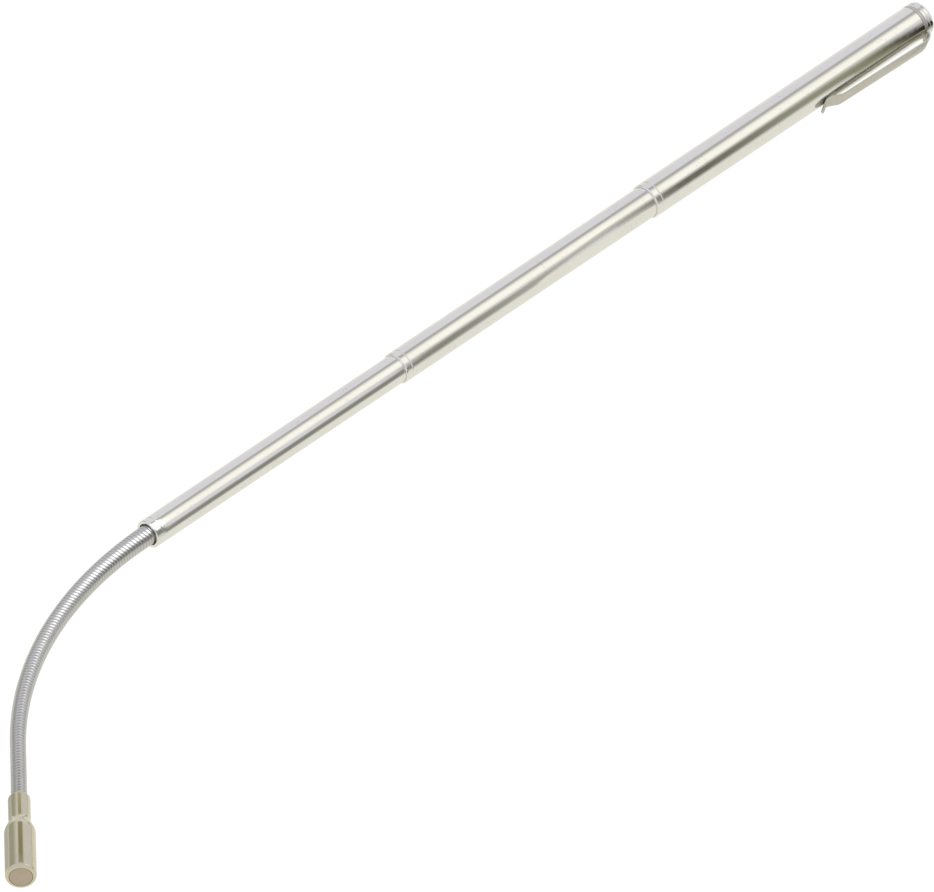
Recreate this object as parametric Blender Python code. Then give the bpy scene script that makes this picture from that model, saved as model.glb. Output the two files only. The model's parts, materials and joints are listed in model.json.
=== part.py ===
"""Telescopic magnetic pickup tool with a bendable coil neck and a pocket clip.

Three bright tubes slide in one another along X, the widest one, the barrel, at +X. The neck leaves the
inner tube's mouth towards -X, curves towards -Y in the horizontal plane and ends in the magnet head.
Everything is first measured from the butt end of the barrel, on the tubes' axis; the whole tool is then
stood on z = 0 with its footprint centred on the origin.
"""

from math import cos, pi, radians, sin

import bmesh
import bpy
from mathutils import Matrix, Vector

# ---- driving dimensions, in metres -------------------------------------------------------------
TUBE_SIDES = 36
RING_SIDES = 33

BARREL_RADIUS = 0.0055
RADIUS_STEP = 0.0005  # each tube over the one that slides in it
TUBE_WALL = 0.0003
RUNNING_CLEARANCE = 0.00006  # between a rolled lip and the tube that slides in it
FIXED_CLEARANCE = 0.0001  # between pieces that are pressed or crimped together
END_GAP = 0.0003  # between pieces that stand end to end

BARREL_LENGTH = 0.1204  # butt end to mouth, end cap included
MIDDLE_SHOWING = 0.1074  # pulled right out
INNER_SHOWING = 0.1056
LIP_LENGTH = 0.0012
LIP_ROUNDING = 0.00045
TAIL_LENGTH = 0.008  # the swaged tail that stops against the lip in front of it
TAIL_CLEARANCE = 0.00008
TAPER_LENGTH = 0.0006

CAP_FLANGE = 0.0030
CAP_ROUNDING = 0.0010
CAP_SPIGOT = 0.0085
CAP_LEAD_IN = 0.0005

BUSH_SEAT = 0.004
BUSH_NECK = 0.0036
BUSH_FLANGE = 0.0010
BUSH_BORE = 0.0012
BUSH_NECK_STEP = 0.0011
RING_THICKNESS = 0.0005
RING_SPLIT = radians(28)

CLIP_TURN = radians(20)  # the clip's side of the barrel: below the horizontal, towards -Y
CLIP_REACH = 0.0500  # butt end to the clip's tip
CLIP_WIDTH = 0.0052
CLIP_SHEET = 0.0006
CLIP_ROOT_RISE = 0.0028  # middle of the sheet above the barrel, after the elbow
CLIP_END_RISE = 0.0022  # and where it starts to dip
CLIP_ELBOW = 0.0040
CLIP_DIP = 0.0055  # length of the dipped end
CLIP_DIP_STEPS = 8
CLIP_LIP = 0.0030  # its flared tip
CLIP_LIP_RISE = 0.0017
CLIP_LIP_STEPS = (0.35, 0.7, 1.0)  # shares of the lip's length
CLIP_TIP_SHARE = 0.4  # least width of the rounded tip, as a share of the full width
BAND_WIDTH = 0.0010
BAND_TAB = 0.0003

NECK_LEAD = 0.0010  # straight out of the mouth, before the first hinge
NECK_BEND = radians(45.4)
NECK_HINGES = 8  # the last one starts the straight end
NECK_PITCH = 0.0149  # hinge to hinge
NECK_STRAIGHT = 0.0241
NECK_ROOT_SHARE = 0.70  # of the inner tube's radius
NECK_TIP_SHARE = 0.76  # of the neck's own root radius
NECK_TUCK = 0.0088  # hidden in the inner tube
COIL_PITCH = 0.0016
COIL_WIRE = 0.0010
COIL_GROOVE = 0.0003
COIL_SIDES = 16
COIL_GAP = 0.0007  # between neighbouring pieces of the coil
CORE_RADIUS = 0.0009
CORE_SIDES = 10
ANCHOR_LENGTH = 0.0070

HEAD_COLLAR_RADIUS = 0.00335
HEAD_COLLAR = 0.0104
HEAD_COLLAR_ROUNDING = 0.0009
HEAD_CONE = 0.0056
HEAD_CONE_STEPS = ((0.25, 0.16), (0.75, 0.84))  # shares of its length and of its growth
HEAD_RADIUS = 0.00470
HEAD_BODY = 0.0192
HEAD_WALL = 0.0005
HEAD_ROUNDING = 0.0011
HEAD_TUCK = 0.0060  # neck held inside the collar
MAGNET_LENGTH = 0.0120
SLEEVE_WALL = 0.00045
BACKING_LENGTH = 0.0020

# ---- places worked out from them, from the butt end on the tubes' axis ---------------------------
MIDDLE_RADIUS = BARREL_RADIUS - RADIUS_STEP
INNER_RADIUS = MIDDLE_RADIUS - RADIUS_STEP
NECK_ROOT_RADIUS = INNER_RADIUS * NECK_ROOT_SHARE
NECK_TIP_RADIUS = NECK_ROOT_RADIUS * NECK_TIP_SHARE
BARREL_MOUTH = -BARREL_LENGTH
MIDDLE_MOUTH = BARREL_MOUTH - MIDDLE_SHOWING
INNER_MOUTH = MIDDLE_MOUTH - INNER_SHOWING
MIDDLE_TAIL = BARREL_MOUTH + LIP_LENGTH + 2 * TAPER_LENGTH + END_GAP + TAIL_LENGTH
INNER_TAIL = MIDDLE_MOUTH + LIP_LENGTH + 2 * TAPER_LENGTH + END_GAP + TAIL_LENGTH
BARREL_BORE = BARREL_RADIUS - TUBE_WALL
MIDDLE_BORE = MIDDLE_RADIUS - TUBE_WALL
INNER_BORE = INNER_RADIUS - TUBE_WALL
BAND_END = -CAP_FLANGE - FIXED_CLEARANCE
BARREL_BUTT = BAND_END - BAND_WIDTH - FIXED_CLEARANCE
SPIGOT_RADIUS = BARREL_BORE - END_GAP
ARC_LENGTH = NECK_PITCH * (NECK_HINGES - 1)
ARC_RADIUS = ARC_LENGTH / NECK_BEND
NECK_LENGTH = NECK_LEAD + ARC_LENGTH + NECK_STRAIGHT
HEAD_END = NECK_LENGTH + HEAD_COLLAR + HEAD_CONE + HEAD_BODY
HEAD_BORE = HEAD_RADIUS - HEAD_WALL
FACE_RADIUS = HEAD_RADIUS - HEAD_ROUNDING
MAGNET_RADIUS = FACE_RADIUS - FIXED_CLEARANCE
CLIP_SIDE = Vector((0, -cos(CLIP_TURN), -sin(CLIP_TURN)))
CLIP_ACROSS = CLIP_SIDE.cross(Vector((1, 0, 0)))
CLIP_START = BARREL_RADIUS + BAND_TAB + END_GAP
CLIP_ROOT_X = BAND_END - BAND_WIDTH / 2
CLIP_ROOT_HEIGHT = BARREL_RADIUS + CLIP_ROOT_RISE
CLIP_END_HEIGHT = BARREL_RADIUS + CLIP_END_RISE


def make_material(name, colour, roughness, metallic=1.0):
    material = bpy.data.materials.new(name)
    material.use_nodes = True
    shader = material.node_tree.nodes["Principled BSDF"]
    shader.inputs["Base Color"].default_value = (*colour, 1)
    shader.inputs["Roughness"].default_value = roughness
    shader.inputs["Metallic"].default_value = metallic
    return material


def clear_scene():
    for obj in list(bpy.data.objects):
        bpy.data.objects.remove(obj, do_unlink=True)


# ---- shapes --------------------------------------------------------------------------------------
def face_outwards(shape):
    bmesh.ops.recalc_face_normals(shape, faces=shape.faces)
    if shape.calc_volume(signed=True) < 0:
        bmesh.ops.reverse_faces(shape, faces=shape.faces)
    return shape


def arc(centre, radii, start, end, steps):
    """Points (along, out) on a round or elliptical corner; angles in degrees from the 'along' axis."""
    angles = [radians(start + (end - start) * i / steps) for i in range(steps + 1)]
    return [(centre[0] + radii[0] * cos(a), centre[1] + radii[1] * sin(a)) for a in angles]


def turned(outline, sides, turn=2 * pi, closed=True):
    """A solid turned about X from (along, radius) points; an open outline starts and ends on the axis."""
    shape = bmesh.new()
    points = [shape.verts.new((along, 0, out)) for along, out in outline]
    edges = [shape.edges.new(pair) for pair in zip(points, points[1:])]
    if closed:
        edges.append(shape.edges.new((points[-1], points[0])))
    full = turn > 2 * pi - 1e-6
    profile = shape.faces.new(points) if not full else None
    bmesh.ops.spin(shape, geom=[profile] if profile else points + edges, cent=(0, 0, 0), axis=(1, 0, 0),
                   angle=turn, steps=sides, use_merge=full, use_duplicate=False)
    bmesh.ops.remove_doubles(shape, verts=shape.verts, dist=1e-7)
    return face_outwards(shape)


def neck_turn(along):
    return min(max(along - NECK_LEAD, 0), ARC_LENGTH) / ARC_RADIUS


def neck_point(along):
    """The neck's centreline at this distance from the inner tube's mouth."""
    turn = neck_turn(along)
    start = Vector((INNER_MOUTH - min(along, NECK_LEAD), 0, 0))
    bend = ARC_RADIUS * Vector((-sin(turn), cos(turn) - 1, 0))
    rest = max(along - NECK_LEAD - ARC_LENGTH, 0)
    return start + bend + rest * neck_heading(along)


def neck_heading(along):
    turn = neck_turn(along)
    return Vector((-cos(turn), -sin(turn), 0))


def follow_neck(shape):
    """Lays a shape turned about X along the neck: its X becomes the distance along the centreline."""
    for vert in shape.verts:
        heading = neck_heading(vert.co.x)
        aside = Vector((-heading.y, heading.x, 0))
        vert.co = neck_point(vert.co.x) + aside * vert.co.y + Vector((0, 0, vert.co.z))
    return face_outwards(shape)


def tube_outline(mouth, tail, radius, lip_bore, tail_growth=0.0):
    """One drawn tube: rolled lip at the mouth and, where it slides in another, a swaged tail."""
    bore = radius - TUBE_WALL
    outside = arc((mouth + LIP_ROUNDING, radius - LIP_ROUNDING), (LIP_ROUNDING, LIP_ROUNDING), 180, 90, 3)
    inside = [(mouth + LIP_LENGTH + TAPER_LENGTH, bore), (mouth + LIP_LENGTH, lip_bore), (mouth, lip_bore)]
    if not tail_growth:
        return outside + [(tail, radius), (tail, bore)] + inside
    swell = tail - TAIL_LENGTH
    return outside + [
        (swell - TAPER_LENGTH, radius),
        (swell, radius + tail_growth),
        (tail, radius + tail_growth),
        (tail, bore + tail_growth),
        (swell, bore + tail_growth),
        (swell - TAPER_LENGTH, bore),
    ] + inside


def strap(centreline, widths, thickness):
    """A bent strip: (along, out) points with the half-width of the strip at each."""
    shape = bmesh.new()
    loops = []
    for i, (along, out) in enumerate(centreline):
        before, after = centreline[max(i - 1, 0)], centreline[min(i + 1, len(centreline) - 1)]
        direction = Vector((after[0] - before[0], after[1] - before[1])).normalized()
        normal = Vector((-direction.y, direction.x)) * thickness / 2
        corners = [(normal, widths[i]), (-normal, widths[i]), (-normal, -widths[i]), (normal, -widths[i])]
        loops.append([shape.verts.new((along + n.x, across, out + n.y)) for n, across in corners])
    for near, far in zip(loops, loops[1:]):
        for i in range(4):
            shape.faces.new((near[i], near[(i + 1) % 4], far[(i + 1) % 4], far[i]))
    shape.faces.new(loops[0])
    shape.faces.new(loops[-1])
    return shape


def on_clip_side(shape):
    """Turns a shape made with 'out' along Z and 'across' along Y to the clip's side of the barrel."""
    frame = Matrix((Vector((1, 0, 0)), CLIP_ACROSS, CLIP_SIDE)).transposed().to_4x4()
    bmesh.ops.transform(shape, matrix=frame, verts=shape.verts)
    return face_outwards(shape)


# ---- bodies and pieces ---------------------------------------------------------------------------
def add_body(name, joint_point, parent=None):
    """An empty on the body's joint axis; its pieces and the bodies it carries hang from it."""
    body = bpy.data.objects.new(name, None)
    bpy.context.scene.collection.objects.link(body)
    body["joint_point"] = list(joint_point)
    body.parent = parent
    start = Vector(parent["joint_point"]) if parent else Vector()
    body.location = Vector(joint_point) - start
    return body


def add_piece(name, shape, body, material, smooth=35):
    for vert in shape.verts:
        vert.co -= Vector(body["joint_point"])
    mesh = bpy.data.meshes.new(name)
    shape.to_mesh(mesh)
    shape.free()
    mesh.materials.append(material)
    mesh.shade_smooth()
    mesh.set_sharp_from_angle(angle=radians(smooth))
    piece = bpy.data.objects.new(name, mesh)
    bpy.context.scene.collection.objects.link(piece)
    piece.parent = body
    return piece


def join_by_boolean(piece, helper):
    """Unites a helper solid with the piece; the helper stays as a hidden guide."""
    helper.hide_render = True
    helper.display_type = "WIRE"
    union = piece.modifiers.new("union", "BOOLEAN")
    union.operation = "UNION"
    union.solver = "EXACT"
    union.object = helper


def make_barrel(body, chrome):
    lip_bore = MIDDLE_RADIUS + RUNNING_CLEARANCE
    outline = tube_outline(BARREL_MOUTH, BARREL_BUTT, BARREL_RADIUS, lip_bore)
    add_piece("barrel_tube", turned(outline, TUBE_SIDES), body, chrome)


def make_end_cap(body, chrome):
    corner = arc((-CAP_ROUNDING, BARREL_RADIUS - CAP_ROUNDING), (CAP_ROUNDING, CAP_ROUNDING), 0, 90, 4)
    nose = -CAP_FLANGE - CAP_SPIGOT
    outline = [(0, 0)] + corner + [
        (-CAP_FLANGE, BARREL_RADIUS),
        (-CAP_FLANGE, SPIGOT_RADIUS),
        (nose + CAP_LEAD_IN, SPIGOT_RADIUS),
        (nose, SPIGOT_RADIUS - CAP_LEAD_IN),
        (nose, 0),
    ]
    add_piece("end_cap", turned(outline, TUBE_SIDES, closed=False), body, chrome)


def make_clip_band(body, spring_steel):
    inside = SPIGOT_RADIUS + FIXED_CLEARANCE
    outline = [
        (BAND_END, inside),
        (BAND_END, BARREL_RADIUS),
        (BAND_END - BAND_WIDTH, BARREL_RADIUS),
        (BAND_END - BAND_WIDTH, inside),
    ]
    band = add_piece("clip_band", turned(outline, TUBE_SIDES), body, spring_steel)
    foot = (inside + BARREL_RADIUS) / 2
    tab_line = [(CLIP_ROOT_X, foot), (CLIP_ROOT_X, BARREL_RADIUS + BAND_TAB)]
    tab = strap(tab_line, [CLIP_WIDTH / 2] * 2, CLIP_SHEET)
    join_by_boolean(band, add_piece("clip_band_tab", on_clip_side(tab), body, spring_steel))


def clip_centreline():
    """The strip's middle line: elbow, long blade, dip to the barrel, flared tip."""
    rise = CLIP_ROOT_HEIGHT - CLIP_START
    elbow = arc((CLIP_ROOT_X - CLIP_ELBOW, CLIP_START), (CLIP_ELBOW, rise), 0, 90, 7)
    contact = BARREL_RADIUS + END_GAP + CLIP_SHEET / 2
    dip_x = -CLIP_REACH + CLIP_DIP + CLIP_LIP
    drop = CLIP_END_HEIGHT - contact
    dip = []
    for i in range(CLIP_DIP_STEPS + 1):
        t = i / CLIP_DIP_STEPS
        dip.append((dip_x - CLIP_DIP * t, contact + drop * (1 + cos(pi * t)) / 2))
    flare = [(-CLIP_REACH + CLIP_LIP * (1 - t), contact + CLIP_LIP_RISE * t * t) for t in CLIP_LIP_STEPS]
    return elbow + dip + flare


def clip_widths(centreline):
    """Full width along the blade, rounded off over the last stretch at the tip."""
    half = CLIP_WIDTH / 2
    widths = []
    for along, _ in centreline:
        short = min(max(0, -CLIP_REACH + half - along) / half, 1)
        widths.append(half * max((1 - short * short) ** 0.5, CLIP_TIP_SHARE))
    return widths


def make_clip(body, spring_steel):
    line = clip_centreline()
    add_piece("pocket_clip", on_clip_side(strap(line, clip_widths(line), CLIP_SHEET)), body, spring_steel)


def make_sliding_tube(name, mouth, tail, radius, lip_bore, outer_bore, body, material):
    growth = outer_bore - TAIL_CLEARANCE - radius
    add_piece(name, turned(tube_outline(mouth, tail, radius, lip_bore, growth), TUBE_SIDES), body, material)


def bush_places(tail, tube_radius, outer_bore):
    """Where a tail bush and its friction ring sit: seat radius, neck radius, neck ends, flange radius."""
    seat = outer_bore - TAIL_CLEARANCE - TUBE_WALL - FIXED_CLEARANCE
    neck = tube_radius - BUSH_NECK_STEP
    return seat, neck, tail + END_GAP, tail + END_GAP + BUSH_NECK, outer_bore - TAIL_CLEARANCE


def make_tail_bush(name, tail, tube_radius, outer_bore, body, material):
    seat, neck, _, neck_end, flange = bush_places(tail, tube_radius, outer_bore)
    outline = [
        (tail - BUSH_SEAT, BUSH_BORE),
        (tail - BUSH_SEAT, seat),
        (tail, seat),
        (tail, neck),
        (neck_end, neck),
        (neck_end, flange),
        (neck_end + BUSH_FLANGE, flange),
        (neck_end + BUSH_FLANGE, BUSH_BORE),
    ]
    add_piece(name, turned(outline, TUBE_SIDES), body, material)


def make_friction_ring(name, tail, tube_radius, outer_bore, body, material):
    _, neck, neck_start, neck_end, _ = bush_places(tail, tube_radius, outer_bore)
    outside = outer_bore - RUNNING_CLEARANCE
    inside = max(outside - RING_THICKNESS, neck + RUNNING_CLEARANCE)
    outline = [
        (neck_start, inside),
        (neck_start, outside),
        (neck_end - END_GAP, outside),
        (neck_end - END_GAP, inside),
    ]
    add_piece(name, turned(outline, RING_SIDES, turn=2 * pi - RING_SPLIT), body, material)


def neck_radius(along):
    share = min(max(along / (NECK_LEAD + ARC_LENGTH), 0), 1)
    return NECK_ROOT_RADIUS + (NECK_TIP_RADIUS - NECK_ROOT_RADIUS) * share


def coil_outline(start, end):
    """A stretch of the close-wound coil: one ridge and one groove for each turn, and a plain bore."""
    turns = max(round((end - start) / COIL_PITCH), 1)
    pitch = (end - start) / turns
    outline = []
    for i in range(turns):
        foot, crest = start + i * pitch, start + (i + 0.5) * pitch
        outline += [(foot, neck_radius(foot) - COIL_GROOVE), (crest, neck_radius(crest))]
    outline.append((end, neck_radius(end) - COIL_GROOVE))
    for place in (end, (start + end) / 2, start):
        outline.append((place, neck_radius(place) - COIL_GROOVE - COIL_WIRE))
    return outline


def make_neck_piece(name, start, end, body, coil_metal, core_metal):
    coil = follow_neck(turned(coil_outline(start, end), COIL_SIDES))
    add_piece(f"neck_spring_{name}", coil, body, coil_metal, smooth=75)
    rod = [(start, 0), (start, CORE_RADIUS), ((start + end) / 2, CORE_RADIUS), (end, CORE_RADIUS), (end, 0)]
    core = follow_neck(turned(rod, CORE_SIDES, closed=False))
    add_piece(f"neck_core_{name}", core, body, core_metal)


def make_anchor(body, brass):
    outside, inside = INNER_BORE - FIXED_CLEARANCE, NECK_ROOT_RADIUS + FIXED_CLEARANCE
    start = -LIP_LENGTH - TAPER_LENGTH - END_GAP
    end = start - ANCHOR_LENGTH
    outline = [(start, inside), (start, outside), (end, outside), (end, inside)]
    add_piece("neck_anchor", follow_neck(turned(outline, TUBE_SIDES)), body, brass)


def make_head(body, nickel, magnet_metal, brass, steel):
    start = NECK_LENGTH
    cone = start + HEAD_COLLAR
    shoulder = cone + HEAD_CONE
    neck_bore = NECK_TIP_RADIUS + FIXED_CLEARANCE
    socket_end = start + HEAD_TUCK + END_GAP * 2
    growth = HEAD_RADIUS - HEAD_COLLAR_RADIUS
    rounding = HEAD_COLLAR_ROUNDING
    collar = arc((start + rounding, HEAD_COLLAR_RADIUS - rounding), (rounding, rounding), 180, 90, 4)
    cone_line = [(cone + HEAD_CONE * run, HEAD_COLLAR_RADIUS + growth * out) for run, out in HEAD_CONE_STEPS]
    rim = arc((HEAD_END - HEAD_ROUNDING, FACE_RADIUS), (HEAD_ROUNDING, HEAD_ROUNDING), 90, 0, 5)
    curl = HEAD_END - HEAD_ROUNDING - TUBE_WALL
    outside = [(start, neck_bore)] + collar + [(cone, HEAD_COLLAR_RADIUS)] + cone_line + [
        (shoulder, HEAD_RADIUS),
    ] + rim
    inside = [(HEAD_END - HEAD_WALL, FACE_RADIUS), (curl, HEAD_BORE), (shoulder, HEAD_BORE)]
    outline = inside + [(socket_end, neck_bore)] + outside
    add_piece("head_shell", follow_neck(turned(outline, TUBE_SIDES)), body, nickel)

    back = HEAD_END - MAGNET_LENGTH
    disc = [(HEAD_END, 0), (HEAD_END, MAGNET_RADIUS), (back, MAGNET_RADIUS), (back, 0)]
    add_piece("magnet", follow_neck(turned(disc, TUBE_SIDES, closed=False)), body, magnet_metal)

    inside = MAGNET_RADIUS + FIXED_CLEARANCE
    outside = min(inside + SLEEVE_WALL, HEAD_BORE - FIXED_CLEARANCE)
    front = curl - END_GAP
    sleeve = [(front, inside), (front, outside), (back, outside), (back, inside)]
    add_piece("magnet_sleeve", follow_neck(turned(sleeve, TUBE_SIDES)), body, brass)

    far = back - END_GAP
    plate = [(far, 0), (far, outside), (far - BACKING_LENGTH, outside), (far - BACKING_LENGTH, 0)]
    add_piece("magnet_backing", follow_neck(turned(plate, TUBE_SIDES, closed=False)), body, steel)


def hinge_place(number):
    """Distance along the neck of hinge 1, 2, ..."""
    return NECK_LEAD + (number - 1) * NECK_PITCH


def make_neck(inner, coil_metal, core_metal):
    """The coil and its core: a fixed root, then one piece behind each hinge. Returns the last body."""
    make_neck_piece("root", -NECK_TUCK, hinge_place(1) - COIL_GAP / 2, inner, coil_metal, core_metal)
    body = inner
    for number in range(1, NECK_HINGES + 1):
        start = hinge_place(number)
        end = hinge_place(number + 1) - COIL_GAP / 2 if number < NECK_HINGES else NECK_LENGTH + HEAD_TUCK
        body = add_body(f"neck_{number}", neck_point(start), body)
        make_neck_piece(number, start + COIL_GAP / 2, end, body, coil_metal, core_metal)
    return body


def stand_on_ground(root):
    """Moves the whole tool so that its footprint is centred and its lowest point is at z = 0."""
    bpy.context.view_layer.update()
    corners = []
    for obj in bpy.data.objects:
        if obj.type == "MESH" and not obj.hide_render:
            corners += [obj.matrix_world @ vert.co for vert in obj.data.vertices]
    lows = [min(c[i] for c in corners) for i in range(3)]
    highs = [max(c[i] for c in corners) for i in range(3)]
    root.location -= Vector(((lows[0] + highs[0]) / 2, (lows[1] + highs[1]) / 2, lows[2]))
    bpy.context.view_layer.update()


def main():
    clear_scene()
    chrome = make_material("chrome", (0.80, 0.80, 0.78), 0.08)
    nickel = make_material("nickel", (0.68, 0.64, 0.55), 0.18)
    spring_steel = make_material("spring_steel", (0.70, 0.69, 0.63), 0.15)
    coil_metal = make_material("coil_steel", (0.55, 0.56, 0.57), 0.25)
    core_metal = make_material("core_wire", (0.45, 0.45, 0.46), 0.45)
    steel = make_material("mild_steel", (0.40, 0.40, 0.41), 0.40)
    brass = make_material("brass", (0.75, 0.58, 0.30), 0.30)
    magnet_metal = make_material("magnet_plating", (0.62, 0.57, 0.48), 0.28)

    barrel = add_body("barrel", (0, 0, 0))
    clip = add_body("clip", Vector((CLIP_ROOT_X, 0, 0)) + CLIP_SIDE * CLIP_START, barrel)
    middle_grip = add_body("middle_grip", (MIDDLE_TAIL, 0, 0), barrel)
    middle = add_body("middle", (MIDDLE_TAIL, 0, 0), middle_grip)
    inner_grip = add_body("inner_grip", (INNER_TAIL, 0, 0), middle)
    inner = add_body("inner", (INNER_TAIL, 0, 0), inner_grip)

    make_barrel(barrel, chrome)
    make_end_cap(barrel, chrome)
    make_clip_band(barrel, spring_steel)
    make_clip(clip, spring_steel)

    make_sliding_tube("middle_tube", MIDDLE_MOUTH, MIDDLE_TAIL, MIDDLE_RADIUS,
                      INNER_RADIUS + RUNNING_CLEARANCE, BARREL_BORE, middle, chrome)
    make_tail_bush("middle_tail_bush", MIDDLE_TAIL, MIDDLE_RADIUS, BARREL_BORE, middle, brass)
    make_friction_ring("middle_friction_ring", MIDDLE_TAIL, MIDDLE_RADIUS, BARREL_BORE, middle_grip, brass)

    make_sliding_tube("inner_tube", INNER_MOUTH, INNER_TAIL, INNER_RADIUS,
                      NECK_ROOT_RADIUS + END_GAP, MIDDLE_BORE, inner, chrome)
    make_tail_bush("inner_tail_bush", INNER_TAIL, INNER_RADIUS, MIDDLE_BORE, inner, brass)
    make_friction_ring("inner_friction_ring", INNER_TAIL, INNER_RADIUS, MIDDLE_BORE, inner_grip, brass)

    make_anchor(inner, brass)
    neck_end = make_neck(inner, coil_metal, core_metal)
    make_head(neck_end, nickel, magnet_metal, brass, steel)
    stand_on_ground(barrel)


main()
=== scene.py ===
"""The looks of the telescopic magnetic pickup tool: drawn chrome tubes, a close-wound bendable neck,
a warm nickel magnet head and a stamped pocket clip, lying on a white table.

The light is not plain: besides a soft room there are six cards that only the metal mirrors, and their
places are worked out from the camera's direction. Without make_flags() they are gone."""

import json
from math import asin, atan2, copysign, cos, dist, pi, radians, sin

import bmesh
import bpy
from mathutils import Matrix, Vector


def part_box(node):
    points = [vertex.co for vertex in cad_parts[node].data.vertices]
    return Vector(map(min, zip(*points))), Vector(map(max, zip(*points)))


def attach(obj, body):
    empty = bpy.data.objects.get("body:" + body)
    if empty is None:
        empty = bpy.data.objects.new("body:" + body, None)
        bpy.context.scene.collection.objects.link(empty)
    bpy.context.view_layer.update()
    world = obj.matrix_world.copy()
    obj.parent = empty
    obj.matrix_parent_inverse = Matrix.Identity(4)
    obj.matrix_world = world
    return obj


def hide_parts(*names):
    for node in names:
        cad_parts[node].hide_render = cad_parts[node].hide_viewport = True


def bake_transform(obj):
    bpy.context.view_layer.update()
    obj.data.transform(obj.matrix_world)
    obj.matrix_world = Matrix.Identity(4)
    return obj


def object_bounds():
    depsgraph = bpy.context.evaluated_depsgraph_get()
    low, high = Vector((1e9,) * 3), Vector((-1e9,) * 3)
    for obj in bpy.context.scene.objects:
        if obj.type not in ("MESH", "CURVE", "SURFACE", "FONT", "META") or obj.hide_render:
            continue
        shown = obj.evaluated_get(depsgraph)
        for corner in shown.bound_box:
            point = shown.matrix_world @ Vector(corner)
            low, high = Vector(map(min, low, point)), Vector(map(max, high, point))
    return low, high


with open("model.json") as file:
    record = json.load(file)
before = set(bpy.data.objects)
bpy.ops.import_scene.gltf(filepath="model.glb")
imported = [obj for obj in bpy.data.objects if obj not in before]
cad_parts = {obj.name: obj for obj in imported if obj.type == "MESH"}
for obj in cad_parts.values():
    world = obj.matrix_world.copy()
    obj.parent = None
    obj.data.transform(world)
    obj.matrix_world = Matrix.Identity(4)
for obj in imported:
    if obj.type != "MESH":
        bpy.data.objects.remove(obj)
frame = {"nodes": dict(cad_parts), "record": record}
cad_low, cad_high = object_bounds()

# ---- sizes of the finished surfaces, in metres -----------------------------------------------------
BARREL_RADIUS = 0.0055
MIDDLE_RADIUS = 0.0050
INNER_RADIUS = 0.0045
TUBE_WALL = 0.0003
LIP_ROUNDING = 0.00045
LIP_LENGTH = 0.0012
LIP_TAPER = 0.0006
TAIL_LENGTH = 0.008
BEAD_BEHIND_LIP = 0.0026
BEAD_DEPTH = 0.00007
BEAD_SHOULDER = 0.6
LIP_CLEARANCE = 0.00006
SPLIT_TUBE = 0.004
SPLIT_HEAD = 0.002
CORNER_SUPPORT = 0.0001
TUBE_SIDES = 160
ROUND_STEPS = 10
CORNER_STEPS = 12
NECK_CLEARANCE = 0.0003

CAP_ROUNDING = 0.0010
CAP_GROOVE = 0.00018
CAP_DISH_INNER = 0.70
CAP_DISH_OUTER = 0.78
CAP_SPIGOT_GAP = 0.0003
CAP_LEAD_IN = 0.0005
CAP_EDGE = 0.0001
BAND_TUCK = 0.0002

CLIP_TURN = radians(20)
CLIP_SHEET = 0.0006
CLIP_HALF_WIDTH = 0.0026
CLIP_ELBOW = 0.0040
CLIP_ROOT_HEIGHT = BARREL_RADIUS + 0.0028
CLIP_END_HEIGHT = BARREL_RADIUS + 0.0022
CLIP_DIP = 0.0055
CLIP_LIP = 0.0030
CLIP_LIP_RISE = 0.0017
CLIP_RIB_WIDTH = 0.0017
CLIP_RIB_HEIGHT = 0.00022
CLIP_EDGE = 0.00014
CLIP_START = 0.0006
CLIP_CONTACT_GAP = 0.0003
CLIP_FOOT = 0.00015
CLIP_STEPS = 24
CLIP_COLUMNS = 17
CLIP_TIP_SHARE = 0.12
LIP_STEPS = 8
ELBOW_STEPS = 20
RIB_START = 0.0010
RIB_END = 0.0125
RIB_FADE = 0.0020

TURNS_PER_HINGE = 12
COIL_STEPS = 32
COIL_SECTION_SIDES = 16
COIL_SQUARENESS = 0.36  # 1 is an oval wire, less is flatter with narrower grooves
COIL_OVERLAP = 0.58  # 0.5 is wires that just touch, more leaves shallower grooves
COIL_ROOT_RADIUS = 0.00315
COIL_TIP_RADIUS = 0.002394
COIL_WIRE_THICKNESS = 0.0010
NECK_LEAD = 0.0010
NECK_TUCK = 0.0105
HEAD_TUCK = 0.0055

HEAD_COLLAR = 0.0104
HEAD_COLLAR_RADIUS = 0.00335
HEAD_COLLAR_ROUNDING = 0.0009
HEAD_CONE = 0.0056
HEAD_RADIUS = 0.00470
HEAD_BODY = 0.0192
HEAD_WALL = 0.0005
HEAD_ROUNDING = 0.0011
HEAD_SIDES = 128
CONE_STEPS = 16
FACE_CHAMFER = 0.00022
FACE_GAP = 0.00008
MAGNET_DEPTH = 0.0120
MAGNET_GAP = 0.0001
HEAD_SEAT = 0.0011
SMALL_EDGE = 0.0001


# ---- places read from the frame ----------------------------------------------------------------------
def mount(name):
    return next(m for m in frame["record"]["mounts"] if m["name"] == name)


def joint(name):
    return next(j for j in frame["record"]["behaviour"]["joints"] if j["name"] == name)


barrel_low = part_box("barrel_tube")[0]
middle_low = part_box("middle_tube")[0]
inner_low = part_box("inner_tube")[0]
cap_low, cap_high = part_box("end_cap")
band_low, band_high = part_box("clip_band")
clip_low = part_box("pocket_clip")[0]
axis_point = Vector(mount("butt_face")["pos_m"])
tube_y, tube_z = axis_point.y, axis_point.z

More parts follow.
